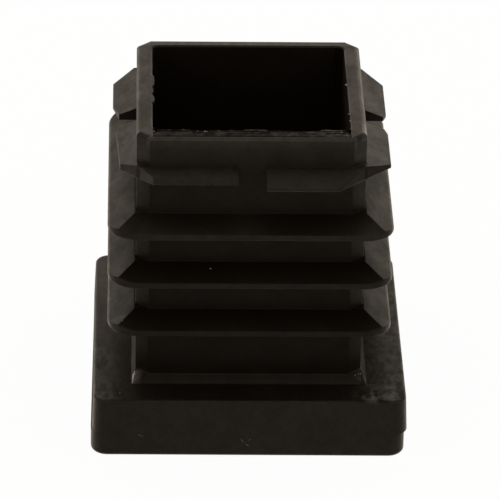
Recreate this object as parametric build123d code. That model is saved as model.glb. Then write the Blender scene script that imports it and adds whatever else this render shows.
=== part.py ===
from build123d import *
from math import atan2, degrees, sqrt
import os

# A square plug for the open end of a 25 mm square steel tube, moulded in one piece.
# Millimetres, +Z up. The origin is the middle of the head's flat bottom face.
# The head rests on the tube's cut end; the hollow core and its ribs go into the tube.

# Head, in two levels that meet at the mould's parting line
tube_width = 25.0
head_height = 5.03
parting_height = 2.05
head_draft = 2.5            # degrees, above the parting line
head_corner_radius = 1.3
head_bottom_round = 0.4
head_top_round = 0.22
upper_shift = 0.1           # the upper mould half sits a little to +X of the core
lower_shift = 0.01
lower_turn = -0.25          # degrees, the lower mould half sits a little askew
lower_shrink = 0.12         # and its cavity is a little smaller

# Core, a thin-walled square box open at the top
core_width = 17.92
core_corner_cut = 1.05
total_height = 26.44
rim_round = 0.38
side_wall = 1.25
front_wall = 1.65
back_wall = 1.09
cavity_corner_radius = 0.6
cavity_floor = 2.5
cavity_edge_round = 0.1
lip_slant_run = 1.15        # the front wall's top slants down into the hollow
lip_slant_drop = 0.18

# Skirt, the slanted foot between the core and the head
skirt_rise = 0.55
skirt_left_run = 0.27
skirt_right_run = 0.42
skirt_deep_run = 0.75       # front and back

# Three full ribs that bend against the tube's bore
rib_width = 22.38
rib_corner_radius = 2.2     # plan radius of the tip's corners
rib_soft_corner_radius = 2.5    # and of the front one at -X
rib_count = 3
rib_first_height = 10.16    # underside of the lowest rib's tip
rib_pitch = 4.24
rib_tip_thickness = 0.45
rib_side_tip_thickness = 0.3   # thinner at +X and -X
rib_top_slope = 0.38        # rise of the top face per unit run towards the core
rib_side_top_slope = 0.47    # and at +X and -X
rib_bottom_slope = 0.05     # fall of the underside per unit run towards the core
rib_edge_round = 0.14

# Smaller lead-in rib near the mouth, split into four corner pieces
lead_width = 21.8
lead_right_shift = 0.05     # it sits this much off the core's middle
lead_front_shift = 0.12
lead_bottom_height = 22.91
lead_tip_thickness = 0.25
lead_top_slope = 0.41
lead_rear_corner_cut = 3.35
lead_front_corner_cut = 4.2
lead_gap = 2.2
lead_side_gap_setback = 0.47    # the gaps at the sides lie behind the rib's own middle
lead_left_end_width = 0.5   # slanted cuts on the pieces' ends at those gaps
lead_left_end_length = 2.0
lead_right_end_width = 0.25
lead_right_end_length = 0.7
lead_short_arm = 1.0        # the front arm at -X was moulded this much too short
lead_lean = 3.4             # degrees, the lean of that piece's outer edge towards the core
lead_lean_inset = 0.22      # and how far in it starts, at the gap


def head():
    upper_plan = RectangleRounded(tube_width, tube_width, head_corner_radius)
    upper = extrude(Pos(upper_shift, 0, parting_height) * upper_plan,
                    amount=head_height - parting_height, taper=head_draft)
    upper = fillet(upper.faces().sort_by(Axis.Z)[-1].edges(), head_top_round)
    lower_width = tube_width - lower_shrink
    lower_plan = RectangleRounded(lower_width, lower_width, head_corner_radius)
    lower = extrude(Pos(lower_shift, 0, 0) * Rot(0, 0, lower_turn) * lower_plan, amount=parting_height)
    lower = fillet(lower.faces().sort_by(Axis.Z)[0].edges(), head_bottom_round)
    return upper + lower


def core():
    outline = chamfer(Rectangle(core_width, core_width).vertices(), core_corner_cut)
    block = extrude(Pos(0, 0, cavity_floor) * outline, amount=total_height - cavity_floor)
    return fillet(block.faces().sort_by(Axis.Z)[-1].edges(), rim_round)


def slanted_bar(low_run, high_run, rise, plane):
    """A bar across the core that narrows to the core's width at its top."""
    half = core_width / 2
    profile = Polyline((-half - low_run, 0), (half + high_run, 0), (half, rise), (-half, rise), close=True)
    return extrude(plane * make_face(profile), amount=core_width, both=True)


def skirt():
    """Sharp-cornered at its base; a slanted facet joins each corner to the core's cut corner."""
    across = slanted_bar(skirt_left_run, skirt_right_run, skirt_rise, Plane.XZ)
    along = slanted_bar(skirt_deep_run, skirt_deep_run, skirt_rise, Plane.YZ)
    top_reach = (core_width - core_corner_cut) / sqrt(2)
    base_reach = (core_width + skirt_right_run + skirt_deep_run) / sqrt(2)
    taper = degrees(atan2(base_reach - top_reach, skirt_rise))
    corners = extrude(Rectangle(2 * base_reach, 2 * base_reach), amount=skirt_rise, taper=taper)
    return Pos(0, 0, head_height) * (across & along & Rot(0, 0, 45) * corners)


def cavity():
    length = core_width - front_wall - back_wall
    width = core_width - 2 * side_wall
    middle = (front_wall - back_wall) / 2
    mouth = Pos(0, middle, cavity_floor) * RectangleRounded(width, length, cavity_corner_radius)
    hollow = extrude(mouth, amount=total_height - cavity_floor)
    flare_base = Pos(0, 0, total_height - cavity_floor - cavity_edge_round) * mouth
    hollow += extrude(flare_base, amount=cavity_edge_round, taper=-45)
    return hollow + lip_slant(width)


def lip_slant(width):
    """The wedge taken off the front wall's top, deepest at the hollow."""
    inside = front_wall - core_width / 2
    profile = Polyline((inside - lip_slant_run, total_height), (inside, total_height - lip_slant_drop),
                       (inside, total_height), close=True)
    return extrude(Plane.YZ * make_face(profile), amount=width / 2, both=True)


def fin(width, bottom, thickness, top_slope, bottom_slope, plane):
    """A bar across the core, level inside it and slanting outside it to two blunt tips."""
    tip = width / 2
    root = core_width / 2
    root_top = bottom + thickness + top_slope * (tip - root)
    root_bottom = bottom - bottom_slope * (tip - root)
    profile = Polyline((-tip, bottom), (-root, root_bottom), (root, root_bottom), (tip, bottom),
                       (tip, bottom + thickness), (root, root_top), (-root, root_top),
                       (-tip, bottom + thickness), close=True)
    return extrude(plane * make_face(profile), amount=tip, both=True)


def rib(tip_height):
    """A full rib whose top slants down from the core to a thin upright tip, with sharp hips."""
    square = Rectangle(rib_width, rib_width)
    outline = fillet(square.vertices().sort_by(Axis.X)[:2].sort_by(Axis.Y)[0], rib_soft_corner_radius)
    sharp = [corner for corner in outline.vertices() if abs(corner.X) + abs(corner.Y) > 0.99 * rib_width]
    outline = fillet(sharp, rib_corner_radius)
    across = fin(rib_width, tip_height, rib_side_tip_thickness,
                 rib_side_top_slope, rib_bottom_slope, Plane.XZ)
    along = fin(rib_width, tip_height, rib_tip_thickness, rib_top_slope, rib_bottom_slope, Plane.YZ)
    body = across & along & extrude(outline, amount=total_height)
    tip_faces = [face for face in body.faces() if abs(face.normal_at().Z) < 0.01]
    tip_edges = {edge for face in tip_faces for edge in face.edges() if abs(edge.tangent_at(0).Z) < 0.9}
    return fillet(tip_edges, rib_edge_round)


def lead_rib():
    """The lead-in rib, cut through at each side of the core."""
    corners = Rectangle(lead_width, lead_width).vertices().group_by(Axis.Y)
    outline = chamfer(corners[0], lead_front_corner_cut)
    rear = [corner for corner in outline.vertices() if corner.Y > 0]
    outline = chamfer(rear, lead_rear_corner_cut)
    across = fin(lead_width, lead_bottom_height, lead_tip_thickness, lead_top_slope, 0, Plane.XZ)
    along = fin(lead_width, lead_bottom_height, lead_tip_thickness, lead_top_slope, 0, Plane.YZ)
    ring = across & along & extrude(outline, amount=total_height)
    middle = Pos(0, 0, lead_bottom_height)
    half = lead_width / 2
    front_end = lead_side_gap_setback - lead_gap / 2
    rear_end = lead_side_gap_setback + lead_gap / 2
    cutter = Box(lead_gap, 2 * lead_width, lead_width)
    ring -= middle * cutter
    ring -= middle * Pos(0, lead_side_gap_setback, 0) * Rot(0, 0, 90) * cutter
    arm = Box(lead_width, lead_short_arm, lead_width, align=(Align.MAX, Align.MIN, Align.CENTER))
    ring -= Pos(0, -half, 0) * middle * arm
    edge = Box(half, lead_width, lead_width, align=(Align.MAX, Align.MAX, Align.CENTER))
    ring -= Pos(lead_lean_inset - half, front_end, 0) * middle * Rot(0, 0, lead_lean) * edge
    for side, width, length in ((-1, lead_left_end_width, lead_left_end_length),
                                (1, lead_right_end_width, lead_right_end_length)):
        for end, way in ((front_end, -1), (rear_end, 1)):
            corner = Polyline((side * half, end), (side * (half - width), end),
                              (side * half, end + way * length), close=True)
            ring -= middle * extrude(make_face(corner), amount=lead_width / 2, both=True)
    return Pos(lead_right_shift, -lead_front_shift, 0) * ring


def end_cap():
    solid = head() + core() + skirt()
    for index in range(rib_count):
        solid += rib(rib_first_height + index * rib_pitch)
    solid += lead_rib()
    return solid - cavity()


os.makedirs("parts", exist_ok=True)
export_step(end_cap(), "parts/end_cap.step")
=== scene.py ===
from math import radians, sin

import bmesh
import bpy
from mathutils import Matrix, Vector


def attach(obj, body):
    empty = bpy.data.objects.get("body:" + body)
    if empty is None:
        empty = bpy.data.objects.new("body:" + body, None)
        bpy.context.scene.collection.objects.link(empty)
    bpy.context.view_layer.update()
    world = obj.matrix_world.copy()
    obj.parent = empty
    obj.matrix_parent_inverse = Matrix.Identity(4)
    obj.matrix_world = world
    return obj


# A square ribbed plug for the open end of a steel tube, moulded in black polyethylene.
# Lengths are written in millimetres and turned to metres by MM.
MM = 0.001

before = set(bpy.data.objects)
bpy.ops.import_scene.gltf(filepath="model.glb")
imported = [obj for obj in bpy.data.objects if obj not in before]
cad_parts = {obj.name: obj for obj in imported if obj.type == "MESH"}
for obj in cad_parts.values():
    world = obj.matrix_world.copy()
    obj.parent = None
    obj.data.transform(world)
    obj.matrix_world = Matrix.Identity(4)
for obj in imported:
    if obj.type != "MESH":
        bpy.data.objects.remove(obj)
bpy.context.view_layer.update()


# ---------------------------------------------------------------- small helpers

def paint(code):
    """An sRGB hex colour as the linear colour the shaders take."""
    channels = [int(code[i:i + 2], 16) / 255 for i in (0, 2, 4)]
    linear = [c / 12.92 if c <= 0.04045 else ((c + 0.055) / 1.055) ** 2.4 for c in channels]
    return (*linear, 1.0)


def add(tree, kind, settings=None, links=None):
    """Adds one node, sets its properties and input values, and links its inputs."""
    node = tree.nodes.new(kind)
    for name, value in (settings or {}).items():
        if isinstance(name, int) or name in node.inputs:
            node.inputs[name].default_value = value
        else:
            setattr(node, name, value)
    for name, source in (links or {}).items():
        tree.links.new(source, node.inputs[name])
    return node


def new_material(name):
    material = bpy.data.materials.new(name)
    material.use_nodes = True
    material.node_tree.nodes.clear()
    return material, material.node_tree


# ---------------------------------------------------------------- materials

# Cloudy patterns: the size of a blotch in millimetres, and how finely it is broken up
CLOUDS = {
    "blotch": (0.9, 3.0),       # cloudy gloss, seen on every face
    "speckle": (0.25, 3.0),     # and the finer mottling in it
    "tear": (0.4, 3.0),         # the torn lip's patches
    "scuff": (0.3, 3.0),        # the patches inside a scuff
    "grain": (0.2, 3.0),        # fine relief that softens the mirroring
    "waviness": (1.8, 1.0),     # slow relief that bends it
    "gloss": (2.5, 2.0),        # slow changes of roughness
}
CLOUD_STRETCH = (1, 0.55, 1)    # the clouds are drawn out from front to back
CLOUD_BREAKUP = 0.6

# The skin. The mirroring's index and limit and both colours were set by the look of the whole:
# the plastic's own index is nearer 1.5.
SKIN_COLOUR, GLOSS_TINT = "0e0906", "fff4e2"
MIRROR_INDEX = 1.24
MIRROR_LIMIT = 0.14             # the most that it mirrors at the flattest slants
ROUGHNESS = (0.38, 0.46)
CLOUDINESS = (0.86, 1.14)       # share of the gloss in the dullest and the clearest clouds
SCUFFED = (0.5, 2.1)            # and inside a scuff
EDGE_SOFTNESS = 0.12
SOFT_EDGES_ABOVE = 2.6          # height; the mould's parting step below it stays crisp
SCUFF_FLATNESS = 6              # heights count this many times, so a scuff keeps to the head's top

# Shares of gloss from place to place, most of them painted light and painted shade. They were set place by
# place until the tones looked right, so they paint in the room's light and shade as well as the skin, and none
# of them is a measured gloss.
# Each row has the limits of the place, then a measure, the span that it runs over and the share
# at the span's two ends. Side and front are the distances from the plug's middle planes, reach
# the greater of the two, and corner their sum. All lengths are in millimetres.
GLOSS_AND_PAINTED_LIGHT_PLACES = (
    # between the ribs: painted shade, less gloss at the core than at the ribs' tips, least on its front and
    # back walls and low down, and painted light on the core's corner facets above the lowest rib
    ([("z", 5.62, 22.6)], ("reach", 9.0, 11.0, 0.55, 0.88)),
    ([("front", 8.92, 9.0), ("z", 5.62, 22.6)], ("z", 5.0, 22.0, 0.76, 1.13)),
    ([("corner", 16.83, 16.91), ("reach", 0.0, 9.0), ("z", 5.62, 22.6)],
     ("front", 7.95, 8.9, 1.55, 1.1)),
    ([("corner", 16.83, 16.91), ("reach", 0.0, 9.0), ("z", 5.62, 10.0)],
     ("z", 9.0, 10.0, 0.62, 0.62)),
    ([("x", 8.9, 9.0), ("z", 5.6, 9.9)], ("z", 9.0, 10.0, 0.6, 0.6)),
    # the ribs' side slopes are cloudier than the rest, and the lowest one at -X gets painted light
    ([("side", 9.0, 11.3), ("z", 9.9, 26.5)], ("blotch", 0.35, 0.65, 0.88, 1.12)),
    ([("x", -11.1, -9.0), ("z", 9.9, 12.6)], ("z", 9.0, 10.0, 1.08, 1.08)),
    # the ribs' tips: a painted highlight on their ends at the sides, and painted light and shade on their
    # fronts, darker low down and brighter high up
    ([("side", 11.02, 12.0), ("z", 9.9, 19.6)], ("z", 9.0, 10.0, 1.7, 1.7)),
    ([("y", -12.0, -11.0), ("z", 9.9, 19.6)], ("z", 10.4, 18.8, 0.82, 1.16)),
    # the lead-in rib, the wall above it and the rim: painted light on the lead-in rib's front and its -X arm,
    # painted shade on its +X arm and low on the wall, painted highlights on the rim's rounded edges at the
    # front, at +X and at the back, and cloudy side tops
    ([("y", -12.0, -9.0), ("z", 22.6, 24.6)], ("x", -3.0, 3.0, 1.26, 1.17)),
    ([("corner", 17.7, 17.84), ("x", 0.0, 12.0), ("y", -12.0, 0.0), ("z", 22.95, 24.8)],
     ("z", 22.0, 23.0, 0.6, 0.6)),
    ([("corner", 17.6, 17.72), ("x", -12.0, 0.0), ("y", -12.0, 0.0), ("z", 22.95, 24.8)],
     ("z", 22.0, 23.0, 1.2, 1.2)),
    ([("front", 8.7, 9.0), ("z", 22.6, 26.3)], ("z", 23.4, 25.4, 0.62, 1.0)),
    ([("front", 8.7, 9.0), ("z", 25.4, 26.3)], ("z", 25.4, 26.0, 1.0, 1.45)),
    ([("y", -9.5, -8.6), ("side", 0.0, 8.2)], ("z", 26.18, 26.3, 1.0, 2.1)),
    ([("x", 8.55, 9.5)], ("z", 25.8, 26.1, 1.0, 1.25)),
    ([("x", 8.55, 9.5), ("z", 25.9, 26.5)], ("y", -7.8, -5.5, 1.45, 1.0)),
    ([("y", 8.0, 9.5)], ("z", 26.2, 26.3, 1.0, 1.33)),
    ([("side", 7.7, 9.0), ("z", 26.3, 26.5)], ("blotch", 0.35, 0.65, 0.9, 1.1)),
    # the front wall's top, torn and dull
    ([("side", 0.0, 7.7), ("y", -8.66, -7.2), ("z", 26.2, 26.6)], ("tear", 0.35, 0.7, 0.05, 0.27)),
    ([("x", 3.9, 7.5), ("y", -8.66, -7.2), ("z", 26.2, 26.6)], ("x", 3.9, 4.6, 1.0, 1.9)),
    # the hollow's +X wall: painted shade, a third of the gloss
    ([("x", 7.0, 7.74), ("y", -7.25, 7.95), ("z", 3.0, 26.33)], ("z", 3.0, 4.0, 0.3, 0.3)),
    # the foot: painted shade on its sides, most at +X, painted light on its front, and a painted highlight at
    # its front -X corner
    ([("x", 8.97, 9.6), ("z", 5.06, 5.6)], ("y", -8.9, -8.4, 0.7, 0.37)),
    ([("x", -8.3, 8.97), ("y", -9.9, -8.98), ("z", 5.06, 5.6)], ("z", 5.0, 6.0, 1.55, 1.55)),
    ([("x", -9.6, -8.97), ("y", -8.3, 9.9), ("z", 5.06, 5.6)], ("z", 5.0, 6.0, 0.74, 0.74)),
    ([("x", -9.6, -8.3), ("y", -9.9, -8.3), ("z", 5.06, 5.6)], ("x", -8.95, -8.35, 4.2, 1.2)),
    # the head: a painted highlight at its front -X corner, and painted shade on its top, at +X darker towards
    # the foot and in front of the foot darker inside |x| = 8.3, with a speckled gloss at +X
    ([("y", -13.0, -11.0), ("z", 0.0, 4.9)], ("x", -12.2, -11.6, 1.4, 1.0)),
    ([("x", 8.9, 12.6), ("y", -9.5, 12.5), ("z", 4.95, 5.1)], ("x", 9.0, 11.5, 0.58, 0.93)),
    ([("x", 8.9, 12.6), ("y", -9.5, 12.5), ("z", 4.95, 5.1)], ("speckle", 0.35, 0.65, 0.8, 1.2)),
    ([("y", -12.1, -9.5), ("z", 4.95, 5.1)], ("side", 8.3, 9.3, 0.55, 1.0)),
)

# Scuffs on the head's top: centre, radius in millimetres and strength
SCUFFS = (
    ((11.0, -11.6, 5.03), 2.8, 1.0), ((9.2, -11.4, 5.03), 1.7, 0.8), ((12.2, -8.6, 5.03), 2.2, 0.5),
    ((-11.9, -10.8, 5.03), 2.6, 0.55), ((-12.2, -6.4, 5.03), 2.6, 0.5), ((-12.3, -3.6, 5.03), 1.6, 0.4),
    ((12.3, -2.5, 5.03), 2.0, 0.3), ((-10.2, -11.2, 5.03), 1.2, 0.4),
)


def black_polyethylene():
    """Black low-density polyethylene as moulded: a soft satin skin, very dark and a little warm,
    that turns grey where it mirrors the light at a slant. Its gloss is scaled place by place to paint in light
    and shade."""
    material, tree = new_material("black_polyethylene_moulded")
    metres = add(tree, "ShaderNodeTexCoord").outputs["Object"]
    place = add(tree, "ShaderNodeVectorMath", {"operation": "SCALE", "Scale": 1 / MM},
                {0: metres}).outputs["Vector"]
    folded = add(tree, "ShaderNodeVectorMath", {"operation": "ABSOLUTE"}, {0: place}).outputs["Vector"]
    signed = add(tree, "ShaderNodeSeparateXYZ", links={"Vector": place}).outputs
    unsigned = add(tree, "ShaderNodeSeparateXYZ", links={"Vector": folded}).outputs
    measures = {"x": signed["X"], "y": signed["Y"], "z": signed["Z"],
                "side": unsigned["X"], "front": unsigned["Y"]}
    for name, operation in (("reach", "MAXIMUM"), ("corner", "ADD")):
        measures[name] = add(tree, "ShaderNodeMath", {"operation": operation},
                             {0: unsigned["X"], 1: unsigned["Y"]}).outputs["Value"]
    stretched = add(tree, "ShaderNodeVectorMath", {"operation": "MULTIPLY", 1: CLOUD_STRETCH},
                    {0: place}).outputs["Vector"]
    for name, (size, detail) in CLOUDS.items():
        settings = {"Scale": 0.5 / size, "Detail": detail, "Roughness": CLOUD_BREAKUP}
        measures[name] = add(tree, "ShaderNodeTexNoise", settings, {"Vector": stretched}).outputs["Fac"]

    # cloudiness all over, then the share of gloss at each place, which paints in light and shade
    blotches = add(tree, "ShaderNodeMath", {"operation": "MULTIPLY"},
                   {0: measures["blotch"], 1: measures["speckle"]}).outputs["Value"]
    dullest, clearest = CLOUDINESS
    span = {"From Min": 0.15, "From Max": 0.35, "To Min": dullest, "To Max": clearest}
    gloss_and_painted_light = add(tree, "ShaderNodeMapRange", span, {"Value": blotches}).outputs["Result"]
    for limits, (along, start, end, at_start, at_end) in GLOSS_AND_PAINTED_LIGHT_PLACES:
        here = None
        for measure, low, high in limits:
            middle, half = (low + high) / 2, (high - low) / 2
            inside = add(tree, "ShaderNodeMath", {"operation": "COMPARE", 1: middle, 2: half},
                         {0: measures[measure]}).outputs["Value"]
            here = inside if here is None else add(tree, "ShaderNodeMath", {"operation": "MULTIPLY"},
                                                   {0: here, 1: inside}).outputs["Value"]
        span = {"From Min": start, "From Max": end, "To Min": at_start, "To Max": at_end}
        share = add(tree, "ShaderNodeMapRange", span, {"Value": measures[along]}).outputs["Result"]
        change = add(tree, "ShaderNodeMix", {"data_type": "FLOAT", 2: 1.0}, {0: here, 3: share}).outputs[0]
        gloss_and_painted_light = add(tree, "ShaderNodeMath", {"operation": "MULTIPLY"}, {0: gloss_and_painted_light, 1: change}).outputs["Value"]

    # scuffs, patchy and fading outwards
    dullest, clearest = SCUFFED
    span = {"From Min": 0.38, "From Max": 0.68, "To Min": dullest, "To Max": clearest}
    bruise = add(tree, "ShaderNodeMapRange", span, {"Value": measures["scuff"]}).outputs["Result"]
    flattened = add(tree, "ShaderNodeVectorMath", {"operation": "MULTIPLY", 1: (1, 1, SCUFF_FLATNESS)},
                    {0: place}).outputs["Vector"]
    for (x, y, z), radius, strength in SCUFFS:
        centre = (x, y, SCUFF_FLATNESS * z)
        away = add(tree, "ShaderNodeVectorMath", {"operation": "DISTANCE", 1: centre},
                   {0: flattened}).outputs["Value"]
        span = {"From Min": 0.3 * radius, "From Max": radius, "To Min": strength, "To Max": 0.0}
        here = add(tree, "ShaderNodeMapRange", span, {"Value": away}).outputs["Result"]
        change = add(tree, "ShaderNodeMix", {"data_type": "FLOAT", 2: 1.0}, {0: here, 3: bruise}).outputs[0]
        gloss_and_painted_light = add(tree, "ShaderNodeMath", {"operation": "MULTIPLY"}, {0: gloss_and_painted_light, 1: change}).outputs["Value"]

    # softened edges and the skin's relief
    rounded = add(tree, "ShaderNodeBevel", {"samples": 6, "Radius": EDGE_SOFTNESS * MM}).outputs["Normal"]
    flat = add(tree, "ShaderNodeNewGeometry").outputs["Normal"]
    above = add(tree, "ShaderNodeMath", {"operation": "GREATER_THAN", 1: SOFT_EDGES_ABOVE},
                {0: measures["z"]}).outputs["Value"]
    softened = add(tree, "ShaderNodeMix", {"data_type": "VECTOR"}, {0: above, 4: flat, 5: rounded}).outputs[1]
    grain = add(tree, "ShaderNodeBump", {"Strength": 0.3, "Distance": 0.03 * MM},
                {"Height": measures["grain"], "Normal": softened}).outputs["Normal"]
    skin = add(tree, "ShaderNodeBump", {"Strength": 0.15, "Distance": 0.1 * MM},
               {"Height": measures["waviness"], "Normal": grain}).outputs["Normal"]

    smoothest, roughest = ROUGHNESS
    span = {"From Min": 0.3, "From Max": 0.7, "To Min": smoothest, "To Max": roughest}
    roughness = add(tree, "ShaderNodeMapRange", span, {"Value": measures["gloss"]}).outputs["Result"]
    body = add(tree, "ShaderNodeBsdfDiffuse", {"Color": paint(SKIN_COLOUR)}, {"Normal": skin}).outputs["BSDF"]
    gloss = add(tree, "ShaderNodeBsdfAnisotropic", {"Color": paint(GLOSS_TINT)},
                {"Roughness": roughness, "Normal": skin}).outputs["BSDF"]
    mirror = add(tree, "ShaderNodeFresnel", {"IOR": MIRROR_INDEX}, {"Normal": skin}).outputs["Fac"]
    mirror = add(tree, "ShaderNodeMath", {"operation": "MINIMUM", 1: MIRROR_LIMIT},
                 {0: mirror}).outputs["Value"]
    # the gloss share, with its painted light and painted shade, scales the mirroring
    mirror = add(tree, "ShaderNodeMath", {"operation": "MULTIPLY"}, {0: mirror, 1: gloss_and_painted_light}).outputs["Value"]
    shader = add(tree, "ShaderNodeMixShader", links={0: mirror, 1: body, 2: gloss}).outputs["Shader"]
    add(tree, "ShaderNodeOutputMaterial", links={"Surface": shader})
    return material


def whitened_polyethylene_and_glints():
    """The same plastic where it is bruised or pulled thin, pale and dull; also the pale specks that paint
    glints along the -X ribs' hip edges.
    """
    material, tree = new_material("whitened_polyethylene_and_glints")
    metres = add(tree, "ShaderNodeTexCoord").outputs["Object"]
    grain = add(tree, "ShaderNodeTexNoise", {"Scale": 1 / (0.1 * MM), "Detail": 2.0},
                {"Vector": metres}).outputs["Fac"]
    dark, light = paint("3a332b"), paint("8d857a")
    tone = add(tree, "ShaderNodeMix", {"data_type": "RGBA", 6: dark, 7: light}, {0: grain}).outputs[2]
    shader = add(tree, "ShaderNodeBsdfPrincipled", {"Roughness": 0.6, "IOR": 1.5},
                 {"Base Color": tone}).outputs["BSDF"]
    add(tree, "ShaderNodeOutputMaterial", links={"Surface": shader})
    return material


# ---------------------------------------------------------------- small irregularities of the moulding

def put_in_order(bm):
    """Sorts a mesh's elements by place, as extruding gives them in another order each run."""
    for elements in (bm.verts, bm.edges, bm.faces):
        places = {}
        for item in elements:
            corners = [item] if isinstance(item, bmesh.types.BMVert) else item.verts
            places[item] = tuple(round(c, 4) for c in sum((corner.co for corner in corners), Vector()))
        rank = {item: index for index, item in enumerate(sorted(elements, key=places.get))}
        elements.sort(key=rank.get)
        elements.index_update()


def finish_piece(name, bm, material):
    """Makes one object of the mesh, in millimetres, and ties it to the part."""
    put_in_order(bm)
    bmesh.ops.recalc_face_normals(bm, faces=bm.faces)
    bmesh.ops.scale(bm, vec=(MM, MM, MM), verts=bm.verts)
    mesh = bpy.data.meshes.new(name)
    bm.to_mesh(mesh)
    bm.free()
    mesh.materials.append(material)
    piece = bpy.data.objects.new(name, mesh)
    bpy.context.scene.collection.objects.link(piece)
    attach(piece, "root")


def ragged(along, seed):
    """A ragged line between 0 and 1."""
    waves = sum(sin(along * rate + seed * turn) / weight for rate, turn, weight in
                ((0.9, 1.7, 1.0), (2.3, 0.6, 1.3), (5.1, 2.9, 1.6), (11.7, 1.1, 2.4)))
    return min(1.0, max(0.0, 0.5 + 0.28 * waves))


def film(bm, steps, thickness, edges_at):
    """A closed film: a strip of grid laid between two edges, then extruded down. edges_at gives
    the inner and the outer point at a share of the way along."""
    grid = bmesh.ops.create_grid(bm, x_segments=steps, y_segments=1, size=0.5)["verts"]
    for vertex in grid:
        inner, outer = edges_at(vertex.co.x + 0.5)
        vertex.co = outer if vertex.co.y > 0 else inner
    laid = set(grid)
    faces = [face for face in bm.faces if laid.issuperset(face.verts)]
    below = bmesh.ops.extrude_face_region(bm, geom=faces, use_keep_orig=True)["geom"]
    below = [item for item in below if isinstance(item, bmesh.types.BMVert)]
    bmesh.ops.translate(bm, verts=below, vec=(0, 0, -thickness))


def mouth_flash(material):
    """A thin torn film along the front wall's inner edge, reaching a little over the hollow."""
    half_mouth = 7.62

    def edges_at(share):
        x = -half_mouth + 2 * half_mouth * share
        out = 0.2 * ragged(x, 1.0) * (1.4 if x > 5.3 else 0.25 if x > 1.3 else 1.0)
        return (x, -7.5, 26.27), (x, -7.31 + out, 26.285 + 0.05 * ragged(x, 4.0))
    bm = bmesh.new()
    film(bm, 150, 0.04, edges_at)
    finish_piece("mouth_flash", bm, material)


def torn_ridge(material):
    """A low broken ridge along the front wall's top."""
    half_width, step = 0.07, 0.12
    bm = bmesh.new()
    for start, end, seed in ((-4.6, -2.9, 1.0), (-1.9, 1.4, 2.0), (3.9, 7.3, 3.0)):
        def edges_at(share):
            x = start + (end - start) * share
            y = -7.75 - 0.3 * ragged(x, seed)
            top = 26.35 + 0.07 * ragged(x * 2.0, seed + 5.0)
            return (x, y - half_width, 26.33), (x, y + half_width, top)
        film(bm, round((end - start) / step), 0.06, edges_at)
    finish_piece("torn_ridge", bm, material)


def inner_edge_swelling(material):
    """A low swelling of the -X wall's inner edge, in three runs."""
    bm = bmesh.new()
    for start, end, most in ((2.5, 0.4, 0.2), (0.1, -0.9, 0.1), (-1.2, -2.6, 0.16)):
        def edges_at(share):
            y = start + (end - start) * share
            out = most * (1 - (2 * share - 1) ** 4) * (0.8 + 0.3 * ragged(y, 2.0))
            return (-7.95, y, 26.43), (-7.74 + out, y, 26.41)
        film(bm, 16, 0.2, edges_at)
    finish_piece("inner_edge_swelling", bm, material)


def lumps(name, material, specks, scratches=()):
    """Uneven small lumps and the raised edges of fine scratches, half sunk in the face under them."""
    bm = bmesh.new()
    for x, y, z, size in specks:
        middle = Vector((x, y, z))
        place = (Matrix.Translation(middle) @ Matrix.Rotation(x + y, 4, "Z")
                 @ Matrix.Diagonal((1.3, 0.8, 0.7, 1.0)))
        made = bmesh.ops.create_icosphere(bm, subdivisions=2, radius=size, matrix=place)["verts"]
        for vertex in made:
            swell = 0.75 + 0.5 * ragged((vertex.co.x + 2 * vertex.co.y) * 12, z)
            vertex.co = middle + (vertex.co - middle) * swell
    for x, y, z, long, turn in scratches:
        place = (Matrix.Translation((x, y, z)) @ Matrix.Rotation(radians(turn), 4, "Y")
                 @ Matrix.Diagonal((long, 0.015, 0.014, 1.0)))
        bmesh.ops.create_icosphere(bm, subdivisions=2, radius=1.0, matrix=place)
    finish_piece(name, bm, material)


# x, y, z and radius of each whitened burr or dust grain; those on the -X ribs at z 11 to 19.4 are pale specks
# that paint glints along the ribs' hip edges
BURRS_AND_GLINTS = (
    (7.66, 0.91, 26.35, 0.10), (7.66, -4.41, 26.38, 0.06), (7.7, -5.65, 26.37, 0.07),
    (1.66, 8.2, 26.37, 0.07), (3.92, 8.1, 26.38, 0.06), (-7.62, -7.45, 26.30, 0.07),
    (-4.2, -7.36, 26.29, 0.045), (-3.66, -7.42, 26.3, 0.075), (-3.5, -7.48, 26.3, 0.06),
    (-2.5, -7.36, 26.29, 0.04),
    (7.0, -7.5, 26.31, 0.05), (-3.12, -9.65, 15.43, 0.07),
    (-10.17, -11.12, 5.02, 0.05), (11.48, -10.96, 5.02, 0.05), (9.1, -11.6, 5.02, 0.04),
    (8.95, -8.6, 5.43, 0.055), (8.75, -8.72, 5.47, 0.045), (8.5, -8.95, 5.48, 0.04),
    (-8.97, -8.75, 5.4, 0.06), (-8.97, -6.13, 11.42, 0.06), (-8.97, -7.4, 11.42, 0.05),
    (-9.0, -8.0, 11.40, 0.05), (-10.0, -10.16, 11.0, 0.04),
    (-10.39, -10.35, 15.06, 0.05), (-9.4, -9.2, 15.54, 0.04), (-10.1, -9.9, 19.4, 0.04),
)
# and of each lump of the plastic itself
LUMPS = (
    (-3.2, -9.99, 22.94, 0.11), (-2.95, -9.99, 22.95, 0.08), (0.08, -11.16, 18.9, 0.10),
    (4.98, -11.16, 18.92, 0.12), (-4.6, -11.16, 14.66, 0.08), (6.3, -11.16, 10.45, 0.08),
)
# x, y, z, half length and tilt in degrees of each fine scratch on the head's front
SCRATCHES = (
    (-8.6, -12.43, 1.95, 0.3, 28), (-0.5, -12.43, 1.5, 0.28, 60), (-0.1, -12.43, 1.1, 0.3, 35),
    (0.1, -12.43, 1.55, 0.2, -40),
)


# ---------------------------------------------------------------- surroundings

def white_where_seen(tree, shown, otherwise):
    """The first shader for what the eye and mirror-like surfaces see, the second for all other light."""
    path = add(tree, "ShaderNodeLightPath").outputs
    seen = add(tree, "ShaderNodeMath", {"operation": "MAXIMUM"},
               {0: path["Is Camera Ray"], 1: path["Is Glossy Ray"]}).outputs["Value"]
    seen = add(tree, "ShaderNodeMath", {"operation": "MAXIMUM"},
               {0: seen, 1: path["Is Transmission Ray"]}).outputs["Value"]
    return add(tree, "ShaderNodeMixShader", links={0: seen, 1: otherwise, 2: shown}).outputs["Shader"]


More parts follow.
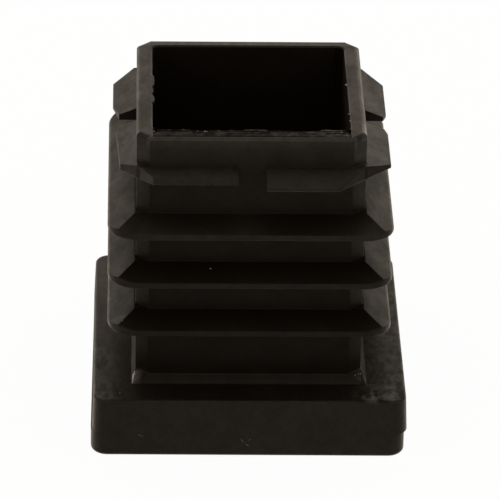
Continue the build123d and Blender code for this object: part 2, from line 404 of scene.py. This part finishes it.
def studio_floor():
    bm = bmesh.new()
    bmesh.ops.create_grid(bm, x_segments=1, y_segments=1, size=4.0)
    mesh = bpy.data.meshes.new("floor")
    bm.to_mesh(mesh)
    bm.free()
    floor = bpy.data.objects.new("floor", mesh)
    bpy.context.scene.collection.objects.link(floor)
    material, tree = new_material("white_paper_floor")
    white = add(tree, "ShaderNodeEmission", {"Color": (1, 1, 1, 1), "Strength": 1.0}).outputs["Emission"]
    paper = add(tree, "ShaderNodeBsdfDiffuse", {"Color": (0.9, 0.9, 0.9, 1)}).outputs["BSDF"]
    bright = add(tree, "ShaderNodeMixShader", {0: 0.04}, {1: white, 2: paper}).outputs["Shader"]
    add(tree, "ShaderNodeOutputMaterial", links={"Surface": white_where_seen(tree, bright, paper)})
    mesh.materials.append(material)


def studio_world():
    """A plain white room all round."""
    world = bpy.data.worlds.new("studio")
    bpy.context.scene.world = world
    world.use_nodes = True
    tree = world.node_tree
    tree.nodes.clear()
    white = add(tree, "ShaderNodeBackground", {"Color": (1, 1, 1, 1), "Strength": 1.0}).outputs["Background"]
    room = add(tree, "ShaderNodeBackground", {"Color": paint("fff7ec"), "Strength": 1.0}).outputs["Background"]
    add(tree, "ShaderNodeOutputWorld", links={"Surface": white_where_seen(tree, white, room)})


def camera():
    """A long lens a little above the plug, turned and tilted by small amounts."""
    elevation, yaw, roll = radians(27.758), radians(1.656), radians(1.032)
    distance, across, down = 368.9 * MM, -0.228 * MM, 0.002 * MM
    aim = Vector((0, 0, 12.0 * MM))
    data = bpy.data.cameras.new("camera")
    data.sensor_width = 36.0
    data.lens = 329.8
    data.clip_start, data.clip_end = 0.01, 20.0
    eye = bpy.data.objects.new("camera", data)
    bpy.context.scene.collection.objects.link(eye)
    eye.matrix_world = (Matrix.Translation(aim) @ Matrix.Rotation(-yaw, 4, "Z")
                        @ Matrix.Rotation(radians(90) - elevation, 4, "X") @ Matrix.Rotation(roll, 4, "Z")
                        @ Matrix.Translation((-across, down, distance)))
    bpy.context.scene.camera = eye


# ---------------------------------------------------------------- the scene

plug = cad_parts["end_cap"]
plastic, pale = black_polyethylene(), whitened_polyethylene_and_glints()
plug.data.materials.clear()
plug.data.materials.append(plastic)
mouth_flash(plastic)
torn_ridge(plastic)
inner_edge_swelling(plastic)
# pale burrs and dust, with specks that paint glints on the -X ribs' hip edges
lumps("burrs_dust_and_glints", pale, BURRS_AND_GLINTS, SCRATCHES)
lumps("plastic_lumps", plastic, LUMPS)

studio_floor()
studio_world()
camera()
bpy.context.scene.view_settings.view_transform = "Standard"
